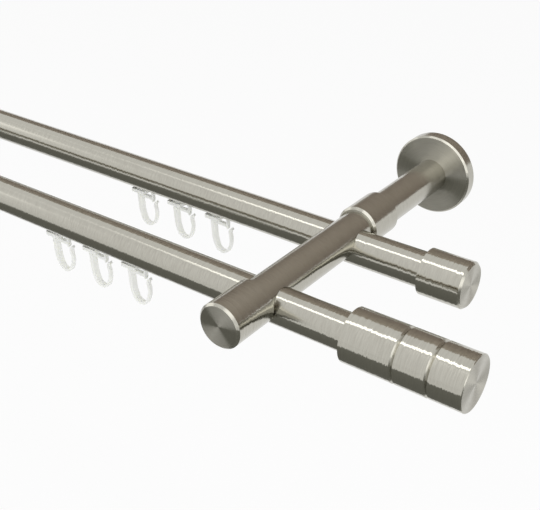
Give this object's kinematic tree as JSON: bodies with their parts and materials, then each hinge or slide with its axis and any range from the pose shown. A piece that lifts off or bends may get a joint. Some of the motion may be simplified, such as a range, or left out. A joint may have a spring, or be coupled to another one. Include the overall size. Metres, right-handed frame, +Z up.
{
  "type": "curtain rod",
  "caption": "Double inner-track curtain rod on wall brackets, with turned finials, end caps and sliding hook gliders under each round rod.",
  "frame": {"origin": "on the wall plane, midway between the two brackets and level with their arms", "axes": "+X along the rods, +Y into the wall, +Z up"},
  "size_m": [0.729, 0.2175, 0.0656],
  "materials": {
    "satin_steel": "satin stainless look, turned and fine brushed",
    "zinc_steel": "bright zinc plated",
    "white_plastic": "smooth moulded"
  },
  "bodies": {
    "rod_and_brackets": {"front_rod": "satin_steel", "rear_rod": "satin_steel", "right_wall_flange": "satin_steel", "right_stem": "satin_steel", "right_collar": "satin_steel", "right_arm": "satin_steel", "right_end_sleeve": "satin_steel", "right_finial": "satin_steel", "right_end_cap": "satin_steel", "left_wall_flange": "satin_steel", "left_stem": "satin_steel", "left_collar": "satin_steel", "left_arm": "satin_steel", "left_end_sleeve": "satin_steel", "left_finial": "satin_steel", "left_end_cap": "satin_steel", "joining_studs": "zinc_steel", "collar_grub_screws": "zinc_steel", "sleeve_grub_screws": "zinc_steel", "finial_grub_screws": "zinc_steel", "cap_grub_screws": "zinc_steel", "arm_screws": "zinc_steel"},
    "front_glider_1": {"front_glider_1": "white_plastic"},
    "front_glider_2": {"front_glider_2": "white_plastic"},
    "front_glider_3": {"front_glider_3": "white_plastic"},
    "front_glider_4": {"front_glider_4": "white_plastic"},
    "front_glider_5": {"front_glider_5": "white_plastic"},
    "front_glider_6": {"front_glider_6": "white_plastic"},
    "rear_glider_1": {"rear_glider_1": "white_plastic"},
    "rear_glider_2": {"rear_glider_2": "white_plastic"},
    "rear_glider_3": {"rear_glider_3": "white_plastic"},
    "rear_glider_4": {"rear_glider_4": "white_plastic"},
    "rear_glider_5": {"rear_glider_5": "white_plastic"},
    "rear_glider_6": {"rear_glider_6": "white_plastic"}
  },
  "joints": [
    {"name": "front_glider_1_slide", "type": "slide", "parent": "rod_and_brackets", "child": "front_glider_1", "axis": [1, 0, 0], "range_m": [-0.005, 0.134]},
    {"name": "front_glider_2_slide", "type": "slide", "parent": "rod_and_brackets", "child": "front_glider_2", "axis": [1, 0, 0], "range_m": [-0.005, 0.005]},
    {"name": "front_glider_3_slide", "type": "slide", "parent": "rod_and_brackets", "child": "front_glider_3", "axis": [1, 0, 0], "range_m": [-0.0879, 0.005]},
    {"name": "front_glider_4_slide", "type": "slide", "parent": "rod_and_brackets", "child": "front_glider_4", "axis": [1, 0, 0], "range_m": [-0.005, 0.0881]},
    {"name": "front_glider_5_slide", "type": "slide", "parent": "rod_and_brackets", "child": "front_glider_5", "axis": [1, 0, 0], "range_m": [-0.005, 0.005]},
    {"name": "front_glider_6_slide", "type": "slide", "parent": "rod_and_brackets", "child": "front_glider_6", "axis": [1, 0, 0], "range_m": [-0.1305, 0.005]},
    {"name": "rear_glider_1_slide", "type": "slide", "parent": "rod_and_brackets", "child": "rear_glider_1", "axis": [1, 0, 0], "range_m": [-0.005, 0.134]},
    {"name": "rear_glider_2_slide", "type": "slide", "parent": "rod_and_brackets", "child": "rear_glider_2", "axis": [1, 0, 0], "range_m": [-0.005, 0.005]},
    {"name": "rear_glider_3_slide", "type": "slide", "parent": "rod_and_brackets", "child": "rear_glider_3", "axis": [1, 0, 0], "range_m": [-0.0879, 0.005]},
    {"name": "rear_glider_4_slide", "type": "slide", "parent": "rod_and_brackets", "child": "rear_glider_4", "axis": [1, 0, 0], "range_m": [-0.005, 0.0881]},
    {"name": "rear_glider_5_slide", "type": "slide", "parent": "rod_and_brackets", "child": "rear_glider_5", "axis": [1, 0, 0], "range_m": [-0.005, 0.005]},
    {"name": "rear_glider_6_slide", "type": "slide", "parent": "rod_and_brackets", "child": "rear_glider_6", "axis": [1, 0, 0], "range_m": [-0.1305, 0.005]}
  ]
}
